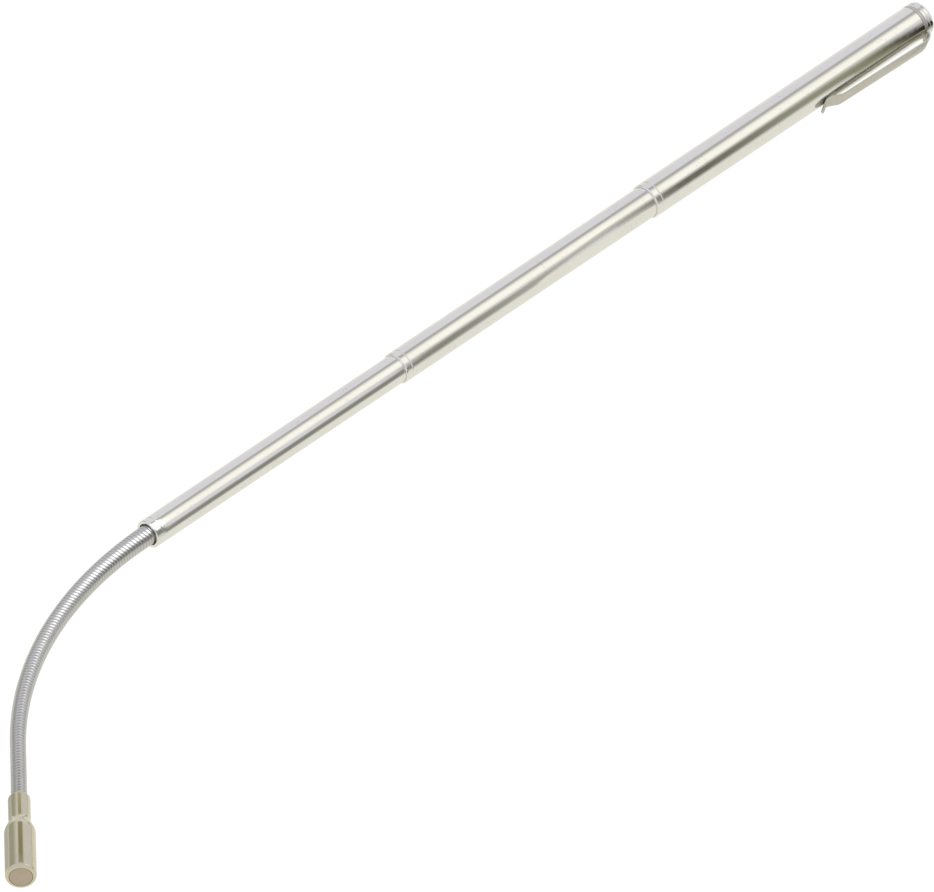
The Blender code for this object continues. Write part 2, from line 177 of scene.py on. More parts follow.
hinges = [Vector(joint(f"neck_bend_{n}")["pos_m"]) for n in range(1, 9)]
head_heading = Vector(mount("magnet_face")["axis"])
neck_bend = atan2(-head_heading.y, -head_heading.x)
hinge_turn = neck_bend / (len(hinges) - 1)
arc_radius = (hinges[1] - hinges[0]).length / (2 * sin(hinge_turn / 2))
hinge_pitch = arc_radius * hinge_turn
arc_length = hinge_pitch * (len(hinges) - 1)
face_along = arc_length + (Vector(mount("magnet_face")["pos_m"]) - hinges[-1]).length
head_start = face_along - HEAD_COLLAR - HEAD_CONE - HEAD_BODY
coil_pitch = hinge_pitch / TURNS_PER_HINGE


def neck_heading(along):
    turn = min(max(along, 0), arc_length) / arc_radius
    return Vector((-cos(turn), -sin(turn), 0))


def neck_point(along):
    """The neck's centreline at this distance past the first hinge; before it, straight back into the tube."""
    turn = min(max(along, 0), arc_length) / arc_radius
    bend = arc_radius * Vector((-sin(turn), cos(turn) - 1, 0))
    straight = min(along, 0) + max(along - arc_length, 0)
    return hinges[0] + bend + straight * neck_heading(along)


# ---- mesh helpers --------------------------------------------------------------------------------------
def finish_mesh(shape, name, smooth=40):
    """Closes, faces outwards and shades a bmesh, and links it as an object at the origin."""
    bmesh.ops.remove_doubles(shape, verts=shape.verts, dist=1e-7)
    bmesh.ops.recalc_face_normals(shape, faces=shape.faces)
    if shape.calc_volume(signed=True) < 0:
        bmesh.ops.reverse_faces(shape, faces=shape.faces)
    mesh = bpy.data.meshes.new(name)
    shape.to_mesh(mesh)
    shape.free()
    mesh.shade_smooth()
    mesh.set_sharp_from_angle(angle=radians(smooth))
    piece = bpy.data.objects.new(name, mesh)
    bpy.context.scene.collection.objects.link(piece)
    return piece


def arc(centre, radii, start, end, steps):
    """Points (along, out) on a round corner; angles in degrees from the 'along' axis."""
    angles = [radians(start + (end - start) * i / steps) for i in range(steps + 1)]
    return [(centre[0] + radii[0] * cos(a), centre[1] + radii[1] * sin(a)) for a in angles]


def split_long(outline, longest, closed=True):
    """Adds points on straight runs, one of them close to each corner, so that the shading stays even."""
    points = []
    for here, there in zip(outline, outline[1:] + outline[:1]):
        points.append(here)
        length = dist(here, there)
        if length < 4 * CORNER_SUPPORT:
            continue
        pieces = max(int(length / longest), 1)
        near = CORNER_SUPPORT / length
        for share in [near] + [i / pieces for i in range(1, pieces)] + [1 - near]:
            points.append((here[0] + (there[0] - here[0]) * share, here[1] + (there[1] - here[1]) * share))
    if not closed:
        points = points[:points.index(outline[-1]) + 1]
    return points


def turned(outline, sides, closed=True):
    """Turns (along, radius) points about X; an open outline starts and ends on the axis."""
    shape = bmesh.new()
    points = [shape.verts.new((along, 0, out)) for along, out in outline]
    edges = [shape.edges.new(pair) for pair in zip(points, points[1:])]
    if closed:
        edges.append(shape.edges.new((points[-1], points[0])))
    bmesh.ops.spin(shape, geom=points + edges, cent=(0, 0, 0), axis=(1, 0, 0), angle=2 * pi, steps=sides,
                   use_merge=True, use_duplicate=False)
    return shape


def on_tube_axis(shape):
    bmesh.ops.translate(shape, verts=shape.verts, vec=(0, tube_y, tube_z))
    return shape


def follow_neck(shape):
    """Lays a shape made about X along the neck: its X becomes the distance past the first hinge."""
    for vert in shape.verts:
        heading = neck_heading(vert.co.x)
        aside = Vector((-heading.y, heading.x, 0))
        vert.co = neck_point(vert.co.x) + aside * vert.co.y + Vector((0, 0, vert.co.z))
    return shape


# ---- pieces ----------------------------------------------------------------------------------------------
def tube_outline(mouth, tail, radius, lip_bore, tail_radius):
    """A drawn tube: rolled lip with a fine bead behind it, even wall, and a swaged tail if it slides."""
    bore = radius - TUBE_WALL
    bead = mouth + BEAD_BEHIND_LIP
    outside = arc((mouth + LIP_ROUNDING, radius - LIP_ROUNDING), (LIP_ROUNDING, LIP_ROUNDING), 180, 90,
                  ROUND_STEPS)
    outside += [
        (bead - BEAD_DEPTH * 2, radius),
        (bead - BEAD_DEPTH, radius - BEAD_DEPTH * BEAD_SHOULDER),
        (bead, radius - BEAD_DEPTH),
        (bead + BEAD_DEPTH, radius - BEAD_DEPTH * BEAD_SHOULDER),
        (bead + BEAD_DEPTH * 2, radius),
    ]
    inside = [
        (mouth + LIP_LENGTH + LIP_TAPER, bore),
        (mouth + LIP_LENGTH, lip_bore),
        (mouth + LIP_ROUNDING * 0.5, lip_bore),
        (mouth + LIP_ROUNDING * 0.1, lip_bore + LIP_ROUNDING * 0.3),
    ]
    if tail_radius <= radius + 1e-5:
        edge = TUBE_WALL * 0.3
        return outside + [(tail - edge, radius), (tail, radius - edge), (tail, bore)] + inside
    swell = tail - TAIL_LENGTH
    growth = tail_radius - radius
    return outside + [
        (swell - LIP_TAPER, radius),
        (swell, tail_radius),
        (tail, tail_radius),
        (tail, bore + growth),
        (swell, bore + growth),
        (swell - LIP_TAPER, bore),
    ] + inside


def make_tube(name, node, body, radius, lip_bore, material):
    low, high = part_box(node)
    tail_radius = (high.z - low.z) / 2
    outline = split_long(tube_outline(low.x, high.x, radius, lip_bore, tail_radius), SPLIT_TUBE)
    piece = finish_mesh(on_tube_axis(turned(outline, TUBE_SIDES)), name)
    dress(piece, material)
    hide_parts(node)
    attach(piece, body)


def make_end_cap(material):
    butt, nose = cap_high.x, cap_low.x
    flange = band_high.x + CAP_EDGE
    spigot = BARREL_RADIUS - TUBE_WALL - CAP_SPIGOT_GAP
    corner = arc((butt - CAP_ROUNDING, BARREL_RADIUS - CAP_ROUNDING), (CAP_ROUNDING, CAP_ROUNDING), 0, 90,
                 CORNER_STEPS)
    groove = (butt - CAP_ROUNDING + flange) / 2
    face = BARREL_RADIUS - CAP_ROUNDING
    outline = [
        (butt - CAP_GROOVE, 0),
        (butt - CAP_GROOVE, face * CAP_DISH_INNER),
        (butt, face * CAP_DISH_OUTER),
    ] + corner + [
        (groove + CAP_GROOVE, BARREL_RADIUS),
        (groove, BARREL_RADIUS - CAP_GROOVE * 0.6),
        (groove - CAP_GROOVE, BARREL_RADIUS),
        (flange + CAP_EDGE, BARREL_RADIUS),
        (flange, BARREL_RADIUS - CAP_EDGE),
        (flange, spigot),
        (nose + CAP_LEAD_IN, spigot),
        (nose, spigot - CAP_LEAD_IN),
        (nose, 0),
    ]
    cap = turned(split_long(outline, SPLIT_TUBE, closed=False), TUBE_SIDES, closed=False)
    piece = finish_mesh(on_tube_axis(cap), "end_cap_turned", smooth=30)
    dress(piece, material)
    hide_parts("end_cap")
    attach(piece, "barrel")


def clip_frame():
    """Along the tubes, across the clip, and out from the barrel on the clip's side."""
    side = Vector((0, -cos(CLIP_TURN), -sin(CLIP_TURN)))
    across = side.cross(Vector((1, 0, 0)))
    frame_matrix = Matrix((Vector((1, 0, 0)), across, side)).transposed().to_4x4()
    return Matrix.Translation((0, tube_y, tube_z)) @ frame_matrix


def make_clip_ring(material):
    edge = CAP_EDGE
    near, far = band_high.x, band_low.x
    inside = BARREL_RADIUS - TUBE_WALL - BAND_TUCK
    outline = [
        (near, inside),
        (near, BARREL_RADIUS - edge),
        (near - edge, BARREL_RADIUS),
        (far + edge, BARREL_RADIUS),
        (far, BARREL_RADIUS - edge),
        (far, inside),
    ]
    piece = finish_mesh(on_tube_axis(turned(outline, TUBE_SIDES)), "clip_ring", smooth=30)
    dress(piece, material)
    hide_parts("clip_band")
    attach(piece, "barrel")


def clip_line():
    """Middle of the strip as (along, out): up from the ring, round the elbow, along the blade, dip, flare."""
    root_x = (band_low.x + band_high.x) / 2
    tip_x = clip_low.x
    start = BARREL_RADIUS + CLIP_START
    elbow = arc((root_x - CLIP_ELBOW, start), (CLIP_ELBOW, CLIP_ROOT_HEIGHT - start), 0, 90, ELBOW_STEPS)
    contact = BARREL_RADIUS + CLIP_CONTACT_GAP + CLIP_SHEET / 2
    dip_x = tip_x + CLIP_LIP + CLIP_DIP
    drop = CLIP_END_HEIGHT - contact
    shares = [i / CLIP_STEPS for i in range(CLIP_STEPS + 1)]
    dip = [(dip_x - CLIP_DIP * share, contact + drop * (1 + cos(pi * share)) / 2) for share in shares]
    run_x, fall = dip_x - elbow[-1][0], CLIP_END_HEIGHT - CLIP_ROOT_HEIGHT
    run = [(elbow[-1][0] + run_x * share, CLIP_ROOT_HEIGHT + fall * share) for share in shares[1:-1]]
    steps = [t / LIP_STEPS for t in range(1, LIP_STEPS + 1)]
    flare = [(tip_x + CLIP_LIP * (1 - step), contact + CLIP_LIP_RISE * step ** 2) for step in steps]
    foot = [(root_x, BARREL_RADIUS - CLIP_FOOT), (root_x, BARREL_RADIUS + CLIP_CONTACT_GAP)]
    return foot + elbow + run + dip + flare


def make_clip(material):
    """One stamped strip: a flat grid bent to the clip's line, ribbed along its blade, then thickened."""
    line = [Vector(point) for point in clip_line()]
    shape = bmesh.new()
    bmesh.ops.create_grid(shape, x_segments=len(line) - 1, y_segments=CLIP_COLUMNS - 1, size=1)
    tip_x = clip_low.x
    blade_start, blade_end = line[ELBOW_STEPS + 2].x - RIB_START, tip_x + RIB_END
    for vert in shape.verts:
        index = round((vert.co.x + 1) / 2 * (len(line) - 1))
        here = line[index]
        before, after = line[max(index - 1, 0)], line[min(index + 1, len(line) - 1)]
        direction = (after - before).normalized()
        outward = Vector((-direction.y, direction.x))
        if index > 1 and outward.y < 0 or index <= 1 and outward.x < 0:
            outward = -outward
        short = max(0, tip_x + CLIP_HALF_WIDTH - here.x) / CLIP_HALF_WIDTH
        width = CLIP_HALF_WIDTH * max(1 - short * short, CLIP_TIP_SHARE) ** 0.5
        across = vert.co.y * width
        ends = (min(max((blade_start - here.x) / RIB_FADE, 0), 1)
                * min(max((here.x - blade_end) / RIB_FADE, 0), 1))
        ridge = max(1 - (2 * across / CLIP_RIB_WIDTH) ** 2, 0)
        lift = CLIP_RIB_HEIGHT * ends * ridge * ridge * (3 - 2 * ridge)
        vert.co = Vector((here.x + outward.x * lift, across, here.y + outward.y * lift))
    bmesh.ops.recalc_face_normals(shape, faces=shape.faces)
    bmesh.ops.solidify(shape, geom=shape.faces, thickness=CLIP_SHEET)
    bmesh.ops.remove_doubles(shape, verts=shape.verts, dist=1e-7)
    rim = [e for e in shape.edges if len(e.link_faces) == 2 and e.calc_face_angle(0) > radians(60)]
    bmesh.ops.bevel(shape, geom=rim, offset=CLIP_EDGE, offset_type="OFFSET", segments=3, profile=0.5,
                    affect="EDGES", material=-1)
    bmesh.ops.transform(shape, matrix=clip_frame(), verts=shape.verts)
    piece = finish_mesh(shape, "clip_strap", smooth=50)
    dress(piece, material)
    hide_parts("pocket_clip")
    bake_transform(piece)


def coil_radius(along):
    share = min(max((along + NECK_LEAD) / (arc_length + NECK_LEAD), 0), 1)
    return COIL_ROOT_RADIUS + (COIL_TIP_RADIUS - COIL_ROOT_RADIUS) * share


def coil_stretch(start, end):
    """Some turns of the close-wound wire between two places along the neck, wound about X and then bent."""
    turns = (end - start) / coil_pitch
    steps = round(turns * COIL_STEPS)
    shape = bmesh.new()
    bmesh.ops.create_circle(shape, cap_ends=True, radius=1, segments=COIL_SECTION_SIDES)
    phase = 2 * pi * start / coil_pitch
    oval = Matrix(((0, coil_pitch * COIL_OVERLAP, 0), (0, 0, 1), (COIL_WIRE_THICKNESS / 2, 0, 0)))
    groove = shape.verts.layers.float.new("groove")
    for vert in shape.verts:
        for axis in (0, 1):
            vert.co[axis] = copysign(abs(vert.co[axis]) ** COIL_SQUARENESS, vert.co[axis])
        # how far across the wire a point lies, which drives the painted shade between the turns
        vert[groove] = abs(vert.co.y)
        vert.co = oval @ vert.co + Vector((start, 0, COIL_ROOT_RADIUS - COIL_WIRE_THICKNESS / 2))
    bmesh.ops.rotate(shape, verts=shape.verts, cent=(0, 0, 0), matrix=Matrix.Rotation(phase, 3, "X"))
    section = shape.faces[:] + shape.edges[:] + shape.verts[:]
    bmesh.ops.spin(shape, geom=section, cent=(0, 0, 0), axis=(1, 0, 0), dvec=((end - start) / steps, 0, 0),
                   angle=2 * pi * turns, steps=steps, use_merge=False, use_duplicate=False)
    for vert in shape.verts:
        inward = COIL_ROOT_RADIUS - coil_radius(vert.co.x)
        out = Vector((0, vert.co.y, vert.co.z))
        vert.co -= out.normalized() * inward
    return follow_neck(shape)


def make_coil(material):
    """One wire from the tube to the head, in a piece for each hinge, cut midway between the hinges."""
    ends = [(n + 0.5) * hinge_pitch for n in range(len(hinges) - 1)]
    starts = [-NECK_TUCK] + ends
    ends.append(head_start + HEAD_TUCK)
    for number, (start, end) in enumerate(zip(starts, ends), 1):
        piece = finish_mesh(coil_stretch(start, end), f"coil_{number}", smooth=60)
        dress(piece, material)
        nodes = [f"neck_spring_{number}"] + (["neck_spring_root"] if number == 1 else [])
        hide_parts(*nodes)
        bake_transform(piece)


def make_head(material):
    start = head_start
    cone = start + HEAD_COLLAR
    shoulder = cone + HEAD_CONE
    rise = HEAD_RADIUS - HEAD_COLLAR_RADIUS
    neck_bore = COIL_TIP_RADIUS + SMALL_EDGE
    bore = HEAD_RADIUS - HEAD_WALL
    face_radius = HEAD_RADIUS - HEAD_ROUNDING
    rounding = HEAD_COLLAR_ROUNDING
    collar = arc((start + rounding, HEAD_COLLAR_RADIUS - rounding), (rounding, rounding), 180, 90,
                 ROUND_STEPS)
    shoulder_line = []
    for i in range(CONE_STEPS + 1):
        share = i / CONE_STEPS
        out = HEAD_COLLAR_RADIUS + rise * (1 - cos(pi * share)) / 2
        shoulder_line.append((cone + HEAD_CONE * share, out))
    rim = arc((face_along - HEAD_ROUNDING, HEAD_RADIUS - HEAD_ROUNDING), (HEAD_ROUNDING, HEAD_ROUNDING),
              90, 0, CORNER_STEPS)
    outline = [(start + SMALL_EDGE, neck_bore)] + collar + shoulder_line + rim + [
        (face_along - SMALL_EDGE, face_radius - FACE_GAP),
        (face_along - HEAD_WALL, face_radius - FACE_GAP),
        (face_along - HEAD_ROUNDING - TUBE_WALL, bore),
        (shoulder, bore),
        (start + HEAD_TUCK + HEAD_SEAT, neck_bore),
    ]
    piece = finish_mesh(follow_neck(turned(split_long(outline, SPLIT_HEAD), HEAD_SIDES)), "head_shell_turned")
    dress(piece, material)
    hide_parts("head_shell")
    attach(piece, "neck_8")


def make_magnet(material):
    radius = HEAD_RADIUS - HEAD_ROUNDING - MAGNET_GAP
    back = face_along - MAGNET_DEPTH
    outline = [
        (face_along, 0),
        (face_along, radius - FACE_CHAMFER),
        (face_along - FACE_CHAMFER * 0.3, radius - FACE_CHAMFER * 0.3),
        (face_along - FACE_CHAMFER, radius),
        (back, radius),
        (back, 0),
    ]
    piece = finish_mesh(follow_neck(turned(outline, HEAD_SIDES, closed=False)), "magnet_disc", smooth=30)
    dress(piece, material)
    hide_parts("magnet")
    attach(piece, "neck_8")


def dress(piece, material):
    piece.data.materials.clear()
    piece.data.materials.append(material)


# ---- material helpers ------------------------------------------------------------------------------------
PIT_SHARE = 0.5
PIT_DARKNESS = 0.35
PIT_DEPTH = 0.00001
HANDLING_SCALE = 55.0
DUST_COLOUR = (0.62, 0.60, 0.56, 1)
LAPPING_PITCH = 0.00022
LAPPING_HEIGHT = 1.2e-6


def add_node(tree, kind, settings=None, inputs=None):
    node = tree.nodes.new(kind)
    for name, value in (settings or {}).items():
        setattr(node, name, value)
    for name, value in (inputs or {}).items():
        if isinstance(value, bpy.types.NodeSocket):
            tree.links.new(value, node.inputs[name])
        else:
            node.inputs[name].default_value = value
    return node


def maths(tree, operation, first, second=0.0):
    return add_node(tree, "ShaderNodeMath", {"operation": operation}, {0: first, 1: second}).outputs[0]


def remap(tree, value, low, high, to_low=0.0, to_high=1.0):
    names = ("From Min", "From Max", "To Min", "To Max")
    numbers = dict(zip(names, (low, high, to_low, to_high)))
    return add_node(tree, "ShaderNodeMapRange", None, {"Value": value, **numbers}).outputs["Result"]


def noise(tree, vector, scale, detail=2.0, roughness=0.5):
    settings = {"Vector": vector, "Scale": scale, "Detail": detail, "Roughness": roughness}
    return add_node(tree, "ShaderNodeTexNoise", None, settings).outputs["Fac"]


def mix_colour(tree, share, first, second):
    node = add_node(tree, "ShaderNodeMix", {"data_type": "RGBA"})
    for index, value in ((0, share), (6, first), (7, second)):
        if isinstance(value, bpy.types.NodeSocket):
            tree.links.new(value, node.inputs[index])
        else:
            node.inputs[index].default_value = value
    return node.outputs[2]


def new_group(name, inputs, outputs):
    """A shader node group with float or vector sockets; returns its tree, input node and output node."""
    tree = bpy.data.node_groups.new(name, "ShaderNodeTree")
    for socket_name, kind, value in inputs:
        socket = tree.interface.new_socket(name=socket_name, in_out="INPUT", socket_type=kind)
        if value is not None:
            socket.default_value = value
    for socket_name, kind in outputs:
        tree.interface.new_socket(name=socket_name, in_out="OUTPUT", socket_type=kind)
    return tree, tree.nodes.new("NodeGroupInput"), tree.nodes.new("NodeGroupOutput")


def use_group(tree, group, inputs):
    node = tree.nodes.new("ShaderNodeGroup")
    node.node_tree = group
    for name, value in inputs.items():
        if isinstance(value, bpy.types.NodeSocket):
            tree.links.new(value, node.inputs[name])
        else:
            node.inputs[name].default_value = value
    return node


def drawing_lines_group():
    """Fine lines left by the drawing die, long in the stretch direction."""
    tree, given, out = new_group(
        "drawing lines",
        [("Vector", "NodeSocketVector", None), ("Stretch", "NodeSocketVector", (1, 1, 1)),
         ("Amount", "NodeSocketFloat", 1.0)],
        [("Height", "NodeSocketFloat"), ("Mask", "NodeSocketFloat")],
    )
    along = add_node(tree, "ShaderNodeVectorMath", {"operation": "MULTIPLY"},
                     {0: given.outputs["Vector"], 1: given.outputs["Stretch"]}).outputs[0]
    fine = noise(tree, along, 1.0, 3.0, 0.6)
    sparse = remap(tree, noise(tree, along, 0.31, 2.0), 0.60, 0.72)
    tree.links.new(maths(tree, "MULTIPLY", fine, given.outputs["Amount"]), out.inputs["Height"])
    tree.links.new(maths(tree, "MULTIPLY", sparse, given.outputs["Amount"]), out.inputs["Mask"])
    return tree


def handling_group():
    """Smudges from fingers and cloths: broad soft patches broken up by finer ones."""
    tree, given, out = new_group(
        "handling marks",
        [("Vector", "NodeSocketVector", None), ("Scale", "NodeSocketFloat", 60.0)],
        [("Mask", "NodeSocketFloat")],
    )
    broad = noise(tree, given.outputs["Vector"], given.outputs["Scale"], 3.0, 0.55)
    fine_scale = maths(tree, "MULTIPLY", given.outputs["Scale"], 9.0)
    fine = noise(tree, given.outputs["Vector"], fine_scale, 2.0, 0.6)
    both = maths(tree, "ADD", maths(tree, "MULTIPLY", broad, 0.75), maths(tree, "MULTIPLY", fine, 0.25))
    tree.links.new(remap(tree, both, 0.40, 0.66), out.inputs["Mask"])
    return tree


def pits_group():
    """Small pits and dust specks scattered where a broad patch allows them."""
    tree, given, out = new_group(
        "pits",
        [("Vector", "NodeSocketVector", None), ("Scale", "NodeSocketFloat", 900.0),
         ("Size", "NodeSocketFloat", 0.16)],
        [("Height", "NodeSocketFloat"), ("Mask", "NodeSocketFloat")],
    )
    cells = add_node(tree, "ShaderNodeTexVoronoi", {"feature": "F1"},
                     {"Vector": given.outputs["Vector"], "Scale": given.outputs["Scale"]})
    spot = maths(tree, "LESS_THAN", cells.outputs["Distance"], given.outputs["Size"])
    patch = remap(tree, noise(tree, given.outputs["Vector"], 140.0), 0.52, 0.62)
    mask = maths(tree, "MULTIPLY", spot, patch)
    tree.links.new(mask, out.inputs["Mask"])
    tree.links.new(maths(tree, "MULTIPLY", mask, -1.0), out.inputs["Height"])
    return tree


def dust_group():
    """A thin film on faces that look up."""
    tree, given, out = new_group(
        "dust film",
        [("Vector", "NodeSocketVector", None), ("Amount", "NodeSocketFloat", 0.1)],
        [("Mask", "NodeSocketFloat")],
    )
    normal = add_node(tree, "ShaderNodeNewGeometry").outputs["Normal"]
    up = add_node(tree, "ShaderNodeSeparateXYZ", None, {0: normal}).outputs["Z"]
    facing = remap(tree, up, 0.25, 0.95)
    grain = remap(tree, noise(tree, given.outputs["Vector"], 380.0, 4.0, 0.65), 0.38, 0.68)
    film = maths(tree, "MULTIPLY", facing, grain)
    tree.links.new(maths(tree, "MULTIPLY", film, given.outputs["Amount"]), out.inputs["Mask"])
    return tree


GROUPS = {
    "lines": drawing_lines_group(),
    "handling": handling_group(),
    "pits": pits_group(),
    "dust": dust_group(),
}


def metal(name, colour, tarnish, roughness, spread, stretch, line_height, tarnish_share=0.35,
          dust=0.06, waviness=0.0, painted_shade_colour=None):
    """A metal with drawing lines, handling marks, pits and dust over one base colour and one tarnish; given a
    painted shade colour, it also paints shade into a wire's grooves between its turns.
    """
    material = bpy.data.materials.new(name)
    material.use_nodes = True
    tree = material.node_tree
    shader = tree.nodes["Principled BSDF"]
    shader.inputs["Metallic"].default_value = 1.0
    place = add_node(tree, "ShaderNodeTexCoord").outputs["Object"]
    lines = use_group(tree, GROUPS["lines"], {"Vector": place, "Stretch": stretch})
    handling = use_group(tree, GROUPS["handling"], {"Vector": place, "Scale": HANDLING_SCALE})
    pits = use_group(tree, GROUPS["pits"], {"Vector": place})
    film = use_group(tree, GROUPS["dust"], {"Vector": place, "Amount": dust})

    stained = maths(tree, "MULTIPLY", handling.outputs["Mask"], tarnish_share)
    base = mix_colour(tree, stained, (*colour, 1), (*tarnish, 1))
    pitted = maths(tree, "MULTIPLY", pits.outputs["Mask"], PIT_SHARE)
    base = mix_colour(tree, pitted, base, (*[value * PIT_DARKNESS for value in tarnish], 1))
    # painted shade: the wire darkens towards its flanks, where the turns meet, as if shaded between them
    if painted_shade_colour:
        groove = add_node(tree, "ShaderNodeAttribute", {"attribute_name": "groove"}).outputs["Fac"]
        shade_in_grooves = remap(tree, groove, 0.55, 1.0)
        base = mix_colour(tree, shade_in_grooves, base, (*painted_shade_colour, 1))
    base = mix_colour(tree, film.outputs["Mask"], base, DUST_COLOUR)
    tree.links.new(base, shader.inputs["Base Color"])

    rough = remap(tree, handling.outputs["Mask"], 0.0, 1.0, roughness, roughness + spread)
    rough = maths(tree, "ADD", rough, maths(tree, "MULTIPLY", lines.outputs["Mask"], spread * 0.5))
    rough = maths(tree, "ADD", rough, maths(tree, "MULTIPLY", film.outputs["Mask"], 0.6))
    tree.links.new(rough, shader.inputs["Roughness"])

    height = maths(tree, "MULTIPLY", lines.outputs["Height"], line_height)
    height = maths(tree, "ADD", height, maths(tree, "MULTIPLY", pits.outputs["Height"], PIT_DEPTH))
    if waviness:
        waves = noise(tree, place, 38.0, 1.0)
        height = maths(tree, "ADD", height, maths(tree, "MULTIPLY", waves, waviness))
    bump = add_node(tree, "ShaderNodeBump", None, {"Strength": 1.0, "Distance": 1.0, "Height": height})
    tree.links.new(bump.outputs["Normal"], shader.inputs["Normal"])
    return material


def magnet_plating():
    """Plated magnet: faint lapping rings about the head's axis, and light wear where it grabs."""
    material = metal("magnet_plating", (0.50, 0.43, 0.35), (0.43, 0.36, 0.28), 0.26, 0.12, (500, 500, 500),
                     2e-6, tarnish_share=0.5, dust=0.04)
    tree = material.node_tree
    place = add_node(tree, "ShaderNodeTexCoord").outputs["Object"]
    centre = Vector(mount("magnet_face")["pos_m"])
    offset = add_node(tree, "ShaderNodeVectorMath", {"operation": "SUBTRACT"}, {0: place, 1: centre})
    distance = add_node(tree, "ShaderNodeVectorMath", {"operation": "LENGTH"}, {0: offset.outputs[0]})
    rings = maths(tree, "SINE", maths(tree, "MULTIPLY", distance.outputs["Value"], 2 * pi / LAPPING_PITCH))
    height = maths(tree, "MULTIPLY", rings, LAPPING_HEIGHT)
    bump = next(n for n in tree.nodes if n.bl_idname == "ShaderNodeBump")
    before = bump.inputs["Height"].links[0].from_socket
    tree.links.new(maths(tree, "ADD", before, height), bump.inputs["Height"])
    return material


# ---- studio ----------------------------------------------------------------------------------------------
VIEW_AZIMUTH = radians(-45.93)
VIEW_ELEVATION = radians(40.5)
VIEW_DISTANCE = 12.0
TUBE_FLAG_DISTANCE = 0.5
NEAR_FLAG_DISTANCE = 0.05
FLAG_FADE = 0.3
FLAG_STEPS = 24
FLAG_SHARE_TO_TABLE = 0.85
FLAG_PALE = (0.80, 0.80, 0.80)
TO_CAMERA = Vector((sin(VIEW_AZIMUTH) * cos(VIEW_ELEVATION), -cos(VIEW_AZIMUTH) * cos(VIEW_ELEVATION),
                    sin(VIEW_ELEVATION)))
SENSOR_WIDTH = 36.0
LENS = 1554.0
AIM = axis_point + Vector((-0.23833, -0.0399, 0))
TABLE_GAP = 0.0001
TABLE_PAINTED_REFLECTION = (0.84, 0.82, 0.74, 1)
TABLE_SEEN = (0.98, 0.98, 0.98, 1)


def make_camera():
    """A long lens far off, so that the view is almost parallel."""
    data = bpy.data.cameras.new("camera")
    data.sensor_width = SENSOR_WIDTH
    data.lens = LENS
    data.clip_start, data.clip_end = 0.05, 100
    camera = bpy.data.objects.new("camera", data)
    bpy.context.scene.collection.objects.link(camera)
    camera.location = AIM + TO_CAMERA * VIEW_DISTANCE
    camera.rotation_euler = (-TO_CAMERA).to_track_quat("-Z", "Y").to_euler()
    bpy.context.scene.camera = camera


def make_table():
    """A table that glows: near white to the camera and duller in the metal, so it takes no shadow."""
    shape = bmesh.new()
    bmesh.ops.create_circle(shape, cap_ends=True, radius=30, segments=64)
    bmesh.ops.translate(shape, verts=shape.verts, vec=(0, 0, cad_low.z - TABLE_GAP))
    mesh = bpy.data.meshes.new("table")
    shape.to_mesh(mesh)
    shape.free()
    material = bpy.data.materials.new("white_table")
    material.use_nodes = True
    shader = material.node_tree.nodes["Principled BSDF"]
    tree = material.node_tree
    # painted reflection: the metal mirrors a duller, warmer table than the camera sees
    seen = add_node(tree, "ShaderNodeLightPath").outputs["Is Camera Ray"]
    glow = mix_colour(tree, seen, TABLE_PAINTED_REFLECTION, TABLE_SEEN)
    tree.links.new(glow, shader.inputs["Emission Color"])
    shader.inputs["Base Color"].default_value = (0.05, 0.05, 0.05, 1)
    shader.inputs["Roughness"].default_value = 0.9
    shader.inputs["Specular IOR Level"].default_value = 0.0
    shader.inputs["Emission Strength"].default_value = 1.0
    mesh.materials.append(material)
    table = bpy.data.objects.new("table", mesh)
    bpy.context.scene.collection.objects.link(table)


def direction(azimuth, elevation):
    """A direction in the room: azimuth 0 is straight away from the camera, 90 to its right."""
    away = Vector((-sin(VIEW_AZIMUTH), cos(VIEW_AZIMUTH), 0))
    right = Vector((cos(VIEW_AZIMUTH), sin(VIEW_AZIMUTH), 0))
    a, e = radians(azimuth), radians(elevation)
    return cos(e) * (cos(a) * away + sin(a) * right) + Vector((0, 0, sin(e)))


def make_room():
    """Soft lilac-white room: dim low on the left, a bright patch high on the right, a dim spot between."""
    world = bpy.data.worlds.new("studio")
    bpy.context.scene.world = world
    world.use_nodes = True
    tree = world.node_tree
    background = tree.nodes["Background"]
    look = add_node(tree, "ShaderNodeTexCoord").outputs["Generated"]

    def facing(azimuth, elevation, inner, outer):
        """1 within 'inner' degrees of a direction, falling to 0 at 'outer'."""
        toward = direction(azimuth, elevation)
        dot = add_node(tree, "ShaderNodeVectorMath", {"operation": "DOT_PRODUCT"}, {0: look, 1: toward})
        ramp = add_node(tree, "ShaderNodeMapRange", {"interpolation_type": "SMOOTHSTEP"}, {
            "Value": dot.outputs["Value"], "From Min": cos(radians(outer)), "From Max": cos(radians(inner)),
        })
        return ramp.outputs["Result"]

    colour = (0.80, 0.79, 0.85, 1)
    colour = mix_colour(tree, facing(-44, 14, 4, 30), colour, (0.46, 0.46, 0.40, 1))
    colour = mix_colour(tree, facing(76, 50, 5, 23), colour, (1.16, 1.13, 1.03, 1))
    colour = mix_colour(tree, facing(22, 54, 3, 11), colour, (0.50, 0.49, 0.45, 1))
    tree.links.new(colour, background.inputs["Color"])


def mirror_ray(normal):
    """Where the camera's ray goes after this surface."""
    return 2 * normal.dot(TO_CAMERA) * normal - TO_CAMERA


def tube_normal(across):
    """The normal at this place across a tube as the camera sees it: 1 at its far edge, -1 at its near one."""
    around = atan2(TO_CAMERA.z, -TO_CAMERA.y) + asin(across)
    return Vector((0, -cos(around), sin(around)))


